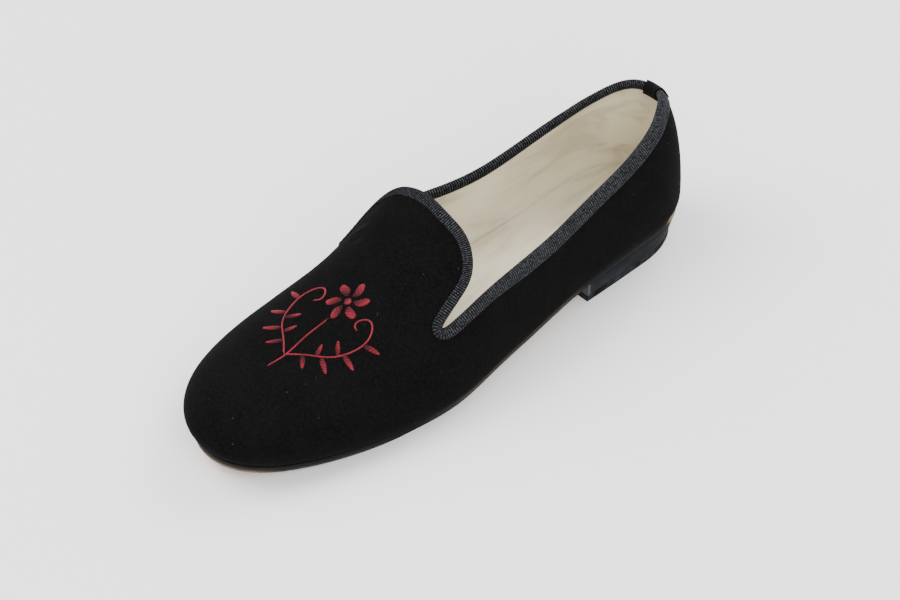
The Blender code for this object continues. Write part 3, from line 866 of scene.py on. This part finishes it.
def sole_finish():
    """Leather sole: inked edge, partly natural at the waist, toe and back, greyer in patches
    towards the toe, with the edge's top kept dark as painted shade under the velvet's overhang, and
    a scuffed natural underside."""
    f = Finish("sole_leather", roughness=0.7, specular_ior_level=0.12)
    along = (HEEL_BACK - f.axes()[1]) / LENGTH
    facing = f.node("ShaderNodeNewGeometry", output="Normal")
    upward = f.node("ShaderNodeSeparateXYZ", values={0: facing}, output=2)
    flat = upward.ramp(-0.985, -0.9, 1, 0)
    scuffs = f.noise(70, 4, 0.65, f.stretched(1, 0.3, 1))
    layers = f.noise(900, 3, 0.6, f.stretched(0.15, 0.15, 1.6))
    waist = along.ramp(0.27, 0.33) * along.ramp(0.56, 0.70, 1, 0)
    # Painted shade: 1 on the low part of the edge and 0.12 at its top, so the toe's cream and the
    # grey show low on the edge and its top stays dark as if under the velvet's overhang.
    low = f.mark("rise").ramp(0.25, 0.7, 1, 0.12)
    ends = along.ramp(0.055, 0.085, 0.7, 0) + along.ramp(0.90, 0.97) * 0.38 * low
    bare_and_painted_shade = (waist * 0.07 + ends) * (0.6 + 0.4 * scuffs.ramp(0.3, 0.6))
    tan = f.mix(layers.ramp(0.35, 0.7), (0.30, 0.215, 0.13), (0.42, 0.33, 0.22))
    # Grey in patches, more towards the toe, on the low part of the edge; its top stays inked as
    # painted shade.
    grey_below_painted_shade = scuffs.ramp(0.40, 0.70) * along.ramp(0.3, 0.6, 0.1, 1) * low
    inked = f.mix(grey_below_painted_shade, (0.003, 0.0033, 0.004), (0.026, 0.027, 0.031))
    edge = f.mix(bare_and_painted_shade, inked, tan)
    worn = along.ramp(0.62, 0.67) * along.ramp(0.84, 0.9, 1, 0)
    soiled = scuffs.ramp(0.35, 0.75) * (0.25 + 0.55 * worn)
    bottom = f.mix(soiled, (0.36, 0.24, 0.13), (0.10, 0.075, 0.05))
    colour = f.mix(flat, edge, bottom)
    height = layers * 0.5 + scuffs * 0.5
    return f.paint(base_color=colour, normal=f.bump(height, 0.15 * MM, 0.5))


def heel_finish():
    """Inked heel leather: level scuffs and dust on the sides, and pale lines down the front
    corners.
    """
    f = Finish("heel_leather", roughness=0.6, specular_ior_level=0.08)
    x, y, z = f.axes()
    lifts = f.noise(500, 3, 0.6, f.stretched(0.06, 0.06, 1.0))
    dust = f.noise(120, 4, 0.65)
    low = z.ramp(0.002, 0.012, 1, 0)
    forward = y.ramp(HEEL_BACK - HEEL_LENGTH, HEEL_BACK - 0.2 * HEEL_LENGTH, 1, 0.35)
    share = lifts.ramp(0.42, 0.68) * 0.4 + dust.ramp(0.4, 0.7) * 0.4 * (0.5 + 0.5 * low) + 0.12
    colour = f.mix(share * forward, (0.0014, 0.0016, 0.0022), (0.020, 0.022, 0.029))
    breast = HEEL_BACK - HEEL_LENGTH
    corner = y.ramp(breast + 0.9 * MM, breast + 1.7 * MM, 1, 0) * x.absolute().ramp(0.024, 0.027)
    colour = f.mix(corner * 0.6, colour, (0.085, 0.09, 0.105))
    return f.paint(base_color=colour, normal=f.bump(lifts + dust * 0.4, 0.12 * MM, 0.5))


def rubber_finish():
    f = Finish("heel_rubber", roughness=0.75, specular_ior_level=0.08)
    dust = f.noise(160, 4, 0.65)
    grit = f.noise(1400, 2)
    colour = f.mix(dust.ramp(0.4, 0.72), (0.0025, 0.0027, 0.0034), (0.022, 0.024, 0.030))
    return f.paint(base_color=colour, normal=f.bump(grit + dust * 0.5, 0.14 * MM, 0.6))


def floor_finish():
    f = Finish("pale_floor", roughness=0.85, specular_ior_level=0.2)
    mottle = f.noise(3, 2)
    return f.paint(base_color=f.mix(mottle, (0.90, 0.90, 0.90), (0.93, 0.93, 0.93)))


# Pieces

def build_upper(cutter):
    velvet, middle, low = last_layers([0, VELVET, WALL])
    outer = shell("velvet_upper", velvet, middle, velvet_finish())
    lining = shell("leather_lining", middle, low, lining_finish(
        "lining_leather", (0.71, 0.652, 0.50), (0.46, 0.408, 0.295)))
    for made in (outer, lining):
        cut_throat(made, cutter)
    bpy.data.objects.remove(cutter)
    kept(outer, "velvet", "upper")
    kept(lining, "sock")


def ribbon_marks(run, profile):
    """Millimetres along and across a ribbon at each point of its grid."""
    steps = np.hypot(*np.diff(np.array(profile), axis=0).T)
    across = np.concatenate([[0], np.cumsum(steps)])
    return {
        "run": np.repeat(run[:, None] / MM, len(profile), 1),
        "across": np.repeat(across[None] / MM, len(run), 0),
    }


def build_binding():
    """Ribbed ribbon folded over the topline, its ribs part of its form."""
    ribs = round(RUN[-1] / RIB_PITCH)
    count = ribs * SAMPLES_PER_RIB
    run = np.linspace(0, RUN[-1], count, endpoint=False)
    outer, inner = ribbon_profile(
        BINDING_OUTSIDE, BINDING_INSIDE, BINDING_PROUD, BINDING_THICKNESS, 4, 8)
    few = inner[::3] + ([] if (len(inner) - 1) % 3 == 0 else inner[-1:])
    grid = band(run, outer + few)
    phase = np.cos(2 * np.pi * np.arange(count) / SAMPLES_PER_RIB)[:, None, None]
    face = grid[:, :len(outer)]
    out = unit(np.cross(np.gradient(face, axis=1), np.roll(face, -1, 0) - np.roll(face, 1, 0)))
    away = unit(face - grid[:, [len(outer) + len(few) // 2]])
    out *= np.sign((out * away).sum(-1, keepdims=True))
    grid[:, :len(outer)] = face + out * phase * RIB_DEPTH / 2
    faces = grid_faces(*grid.shape[:2], True, True)
    marks = ribbon_marks(run, outer + few)
    made = make_piece("grosgrain_binding", grid, faces, grosgrain_finish(), False, marks)
    kept(made, "grosgrain", "topline_binding")


def build_binding_stitches():
    """Machine stitches near the binding's outer edge."""
    pitch, length, steps = 2.6 * MM, 2.0 * MM, 6
    count = round(RUN[-1] / pitch)
    starts = np.arange(count) * RUN[-1] / count
    run = (starts[:, None] + np.linspace(0, length, steps)).ravel()
    at, over = BINDING_OUTSIDE - 0.9 * MM, BINDING_PROUD + 0.04 * MM
    points = band(run, [(at, over)])[:, 0]
    ups = normals(points)
    dip = np.tile(np.sin(np.linspace(0, np.pi, steps)) * 0.22 - 0.14, count)[:, None] * MM
    points = (points + ups * dip).reshape(count, steps, 3)
    finish = thread_finish("binding_thread", (0.004, 0.004, 0.005), (0.016, 0.017, 0.020), 2500)
    made = thread_piece(
        "binding_stitches", points, ups.reshape(count, steps, 3), 0.34 * MM, 0.26 * MM, finish, 6)
    kept(made, "grosgrain")


def build_tan_edge():
    """Thin raw edge of leather that shows along the binding's inner edge."""
    run = np.linspace(0, RUN[-1], 1500, endpoint=False)
    turn = np.linspace(0, 2 * np.pi, 8, endpoint=False)
    at, depth, radius = BINDING_INSIDE + 0.45 * MM, -WALL - 0.12 * MM, 0.38 * MM
    profile = [(at + radius * np.cos(a), depth + radius * np.sin(a)) for a in turn]
    grid = band(run, profile)
    faces = grid_faces(*grid.shape[:2], True, True)
    kept(make_piece("lining_edge", grid, faces, edge_finish(), False), "sole_leather")


def build_heel_tab():
    """Black ribbon folded over the binding at the back seam."""
    count = 40
    run = np.linspace(-TAB_WIDTH / 2, TAB_WIDTH / 2, count) - TAB_ASIDE
    over = BINDING_PROUD + GAP + TAB_THICKNESS
    outer, inner = ribbon_profile(
        TAB_OUTSIDE, TAB_INSIDE, over, TAB_THICKNESS, 10, 14, FOLD + GAP + TAB_THICKNESS)
    grid = band(run, outer + inner)
    rows = grid.shape[1]
    faces = grid_faces(count, rows, False, True)
    for i in (0, count - 1):
        for j in range(rows // 2 - 1):
            faces.append([i * rows + k for k in (j, j + 1, rows - 2 - j, rows - 1 - j)])
    finish = ribbon_finish()
    marks = ribbon_marks(run, outer + inner)
    made = make_piece("back_tab", grid, faces, finish, False, marks)
    made.data.set_sharp_from_angle(angle=EDGE_ANGLE)
    kept(made, "ribbon", "heel_tab")
    build_tab_threads(finish)


def build_tab_threads(finish):
    """Loose threads of the tab's outer end, more of them at its lateral corner."""
    rng = np.random.default_rng(7)
    spread, corner, steps, thread, sag = 16, 10, 6, 0.16 * MM, 0.3
    loose = spread + corner
    at = np.concatenate([rng.uniform(-0.5, 0.5, spread), rng.uniform(0.36, 0.5, corner)])
    at = at * TAB_WIDTH - TAB_ASIDE
    length = rng.uniform(0.7, 2.4, loose) * MM
    share = np.linspace(0, 1, steps)
    over = BINDING_PROUD + GAP
    roots = band(at, [(TAB_OUTSIDE - 0.3 * MM, over + TAB_THICKNESS / 2)])[:, 0]
    ends = band(at + rng.uniform(-1.2, 1.2, loose) * MM, [(TAB_OUTSIDE, over)])[:, 0]
    ups = normals(roots)
    away = unit(ends - roots) + ups * rng.uniform(0.1, 0.8, loose)[:, None]
    paths = roots[:, None] + away[:, None] * (share * length[:, None])[..., None]
    paths = paths - ups[:, None] * (share**2 * length[:, None] * sag)[..., None]
    ups = np.repeat(ups[:, None], steps, 1)
    kept(thread_piece("tab_threads", paths, ups, thread, thread, finish, 5), "ribbon")


def edge_rings(inset, low, high, rounded, count=SIDE_STEPS + 1, until=None, low_inset=None):
    """Rings of a slab with rounded edges, its insets and heights functions of the place along."""
    rings = []
    steps = np.linspace(0, np.pi / 2, 5)
    for angles, outside, height, way in (
        (steps[::-1], inset, high, -1),
        (steps, low_inset or inset, low, 1),
    ):
        for angle in angles:
            inner = rounded * (1 - np.cos(angle))
            ring = plan_ring(lambda along: outside(along) + inner, count, until)
            rise = way * rounded * (1 - np.sin(angle))
            rings.append(at_height(ring, height(ring[:, 0]) + rise))
    return rings


def build_insole():
    def low(along):
        return feather_height(along) + GAP

    def high(along):
        return low(along) + INSOLE_THICKNESS

    def inset(along):
        return feather_tuck(along) + WALL + 0.1 * MM

    rings = edge_rings(inset, low, high, 0.8 * MM)
    finish = lining_finish("sock_leather", (0.71, 0.652, 0.50), (0.45, 0.398, 0.29))
    kept(stacked_rings("insole_sock", rings, finish), "sock", "insole")


def build_outsole():
    rings = edge_rings(outsole_inset, sole_height, feather_height, 0.9 * MM)
    kept(stacked_rings("leather_outsole", rings, sole_finish()), "sole_leather", "outsole")


def build_heel():
    """Heel block of pressed lifts, and the rubber top piece under it."""
    count = 90

    def seat_inset(along):
        return outsole_inset(along) + HEEL_INSET

    def seat(along):
        return sole_height(along) - 0.1 * MM

    foot_inset = steady(HEEL_FOOT_INSET)
    joint = steady(HEEL_JOINT - 0.15 * MM)
    block = edge_rings(seat_inset, joint, seat, 0.35 * MM, count, HEEL_LENGTH, foot_inset)
    kept(stacked_rings("heel_lifts", block, heel_finish()), "heel_leather", "heel_block")
    piece = edge_rings(foot_inset, steady(0.0), joint, 0.45 * MM, count, HEEL_LENGTH)
    kept(stacked_rings("heel_top_rubber", piece, rubber_finish()), "heel_rubber", "heel_top_piece")


# Embroidery: a small flower over two leafy scrolls, drawn around the ornament's middle

ORNAMENT_AT = 219 * MM
ORNAMENT_ASIDE = -1.5 * MM
ORNAMENT_SIZE = 1.35

Leaf = namedtuple("Leaf", "base_x base_y tip_x tip_y width")
LEAVES = (
    Leaf(5.0, -13.0, 9.5, -17.6, 1.5),
    Leaf(10.5, -9.5, 16.5, -13.0, 1.7),
    Leaf(15.0, -3.5, 21.5, -5.0, 1.7),
    Leaf(16.8, 3.5, 23.0, 5.5, 1.6),
    Leaf(9.0, -11.0, 6.6, -5.8, 1.4),
    Leaf(14.0, -5.5, 9.6, -1.3, 1.4),
)
SCROLL = (
    (0.0, -17.5), (6.0, -12.5), (12.5, -7.5), (16.5, 0.5), (16.0, 7.5), (11.5, 10.5), (9.0, 7.0),
    (11.5, 5.0),
)
STALK = ((0.0, -25.0), (0.6, -17.5), (-0.4, -8.0), (0.0, 3.0))
HEART = (0, 11)
PETALS = 6
STITCH_POINTS = 7


def satin(base, tip, width, pitch=0.55, slant=0.28, bulge=0.8):
    """Stitches across a leaf: plan paths [stitch, point, 2] in millimetres."""
    base, tip = np.array(base, float), np.array(tip, float)
    length = np.linalg.norm(tip - base)
    forward = (tip - base) / length
    aside = np.array([-forward[1], forward[0]])
    at = np.linspace(0.06, 0.94, max(4, round(length / pitch)))
    half = width / 2 * np.sin(np.pi * at ** bulge) ** 0.75 + 0.15
    share = np.linspace(-1, 1, STITCH_POINTS)
    along = at[:, None] * length + share * half[:, None] * slant * 2
    return base + forward * along[..., None] + aside * (share * half[:, None])[..., None]


def stem(points, pitch=0.62, length=2.3, lean=0.32):
    """Overlapping slanted stitches along a curve."""
    points = np.array(points, float)
    chords = np.concatenate([[0], np.cumsum(np.linalg.norm(np.diff(points, axis=0), axis=1))])
    curve = Spline(chords, points)
    dense = curve(np.linspace(0, chords[-1], 400))
    run = arc_length(dense)
    starts = np.arange(0, run[-1] - length, pitch)
    at = starts[:, None] + np.linspace(0, length, STITCH_POINTS)
    path = np.stack([np.interp(at, run, dense[:, k]) for k in (0, 1)], -1)
    forward = unit(np.gradient(path, axis=1))
    aside = np.stack([-forward[..., 1], forward[..., 0]], -1)
    return path + aside * np.linspace(-lean, lean, STITCH_POINTS)[None, :, None]


def build_embroidery():
    stitches = [(False, stem(np.array(STALK) * ORNAMENT_SIZE))]
    for side in (1, -1):
        flip = np.array([side, 1]) * ORNAMENT_SIZE
        stitches.append((False, stem(np.array(SCROLL) * flip)))
        for leaf in LEAVES:
            base = np.array([leaf.base_x, leaf.base_y]) * flip
            tip = np.array([leaf.tip_x, leaf.tip_y]) * flip
            stitches.append((True, satin(base, tip, leaf.width * ORNAMENT_SIZE)))
    heart = np.array(HEART) * ORNAMENT_SIZE
    for i in range(PETALS):
        turn = np.pi / 2 + i * 2 * np.pi / PETALS
        way = np.array([np.cos(turn), np.sin(turn)]) * ORNAMENT_SIZE
        petal = satin(heart + way * 2.0, heart + way * 7.6, 3.0 * ORNAMENT_SIZE, bulge=1.3)
        stitches.append((True, petal))
    aside = np.array([1.3, 0]) * ORNAMENT_SIZE
    stitches.append((True, satin(heart - aside, heart + aside, 2.4 * ORNAMENT_SIZE, 0.3, 0)))
    # Painted shade and highlight: each leaf and petal darker at its base and lighter at its tip,
    # every third stitch darker, and the stems' stitches darker and lighter in turn.
    variation_and_painted_shade = [
        np.linspace(0.05, 1, len(group)) - (np.arange(len(group)) % 3 == 0) * 0.35
        if filled else np.arange(len(group)) % 3 / 3 + 0.3
        for filled, group in stitches
    ]
    flat = np.concatenate([group for _, group in stitches])
    along = ORNAMENT_AT - flat[..., 1] * MM
    across = centre_line(along) + ORNAMENT_ASIDE + flat[..., 0] * MM
    points = lifted(np.stack([along, across], -1))
    ups = normals(points)
    rise = (np.sin(np.linspace(0, np.pi, STITCH_POINTS)) * 0.42 - 0.05) * MM
    points = points + ups * rise[None, :, None]
    finish = thread_finish("crimson_thread", (0.020, 0.002, 0.004), (0.37, 0.024, 0.044), 3000)
    made = thread_piece("embroidery", points, ups, 0.42 * MM, 0.32 * MM, finish, 6,
                        np.concatenate(variation_and_painted_shade))
    kept(made, "embroidery")


# Stage

def build_stage():
    mesh = bpy.data.meshes.new("floor")
    size = 12.0
    mesh.from_pydata([(-size, -size, 0), (size, -size, 0), (size, size, 0), (-size, size, 0)], [],
                     [(0, 1, 2, 3)])
    mesh.materials.append(floor_finish())
    floor = bpy.data.objects.new("floor", mesh)
    bpy.context.scene.collection.objects.link(floor)
    world = bpy.data.worlds.new("studio")
    bpy.context.scene.world = world
    world.use_nodes = True
    background = world.node_tree.nodes["Background"]
    background.inputs["Color"].default_value = (1, 1, 1, 1)
    background.inputs["Strength"].default_value = 1.3
    for name, place, aim, size, power in (
        ("key", (-0.9, -0.7, 1.5), (0, 0, 0.02), 1.3, 40),
        ("fill", (1.3, -0.6, 1.1), (0, 0, 0.03), 1.2, 25),
        ("back", (-0.2, 1.5, 1.2), (0, 0, 0.04), 1.2, 25),
    ):
        data = bpy.data.lights.new(name, "AREA")
        data.energy = power
        data.size = size
        lamp = bpy.data.objects.new(name, data)
        lamp.location = place
        aimed = Vector(aim) - Vector(place)
        lamp.rotation_euler = aimed.to_track_quat("-Z", "Y").to_euler()
        bpy.context.scene.collection.objects.link(lamp)


IMAGE_WIDTH = 900


def build_camera():
    """Camera at the photo's angle, found by fitting the last's outlines to the photo. The focal
    length is in pixels."""
    azimuth, elevation, roll = np.radians((46.937, 41.2, 0.539))
    distance, focal = 1735.9 * MM, 3659.8
    target = np.array([10.358, -153.47, 30.0]) * MM + PLACE
    level_back = np.array([np.sin(azimuth), -np.cos(azimuth), 0]) * np.cos(elevation)
    back = level_back + (0, 0, np.sin(elevation))
    right = np.array([np.cos(azimuth), np.sin(azimuth), 0])
    up = np.cross(back, right)
    level = right
    right = level * np.cos(roll) + up * np.sin(roll)
    up = up * np.cos(roll) - level * np.sin(roll)
    data = bpy.data.cameras.new("camera")
    data.sensor_width = 36
    data.lens = focal * data.sensor_width / IMAGE_WIDTH
    camera = bpy.data.objects.new("camera", data)
    camera.matrix_world = Matrix.Translation(target + back * distance) @ Matrix(
        np.stack([right, up, back], 1).tolist()).to_4x4()
    bpy.context.scene.collection.objects.link(camera)
    bpy.context.scene.camera = camera


build_camera()
build_stage()
build_upper(throat_cutter())
build_binding()
build_binding_stitches()
build_tan_edge()
build_heel_tab()
build_insole()
build_outsole()
build_heel()
build_embroidery()
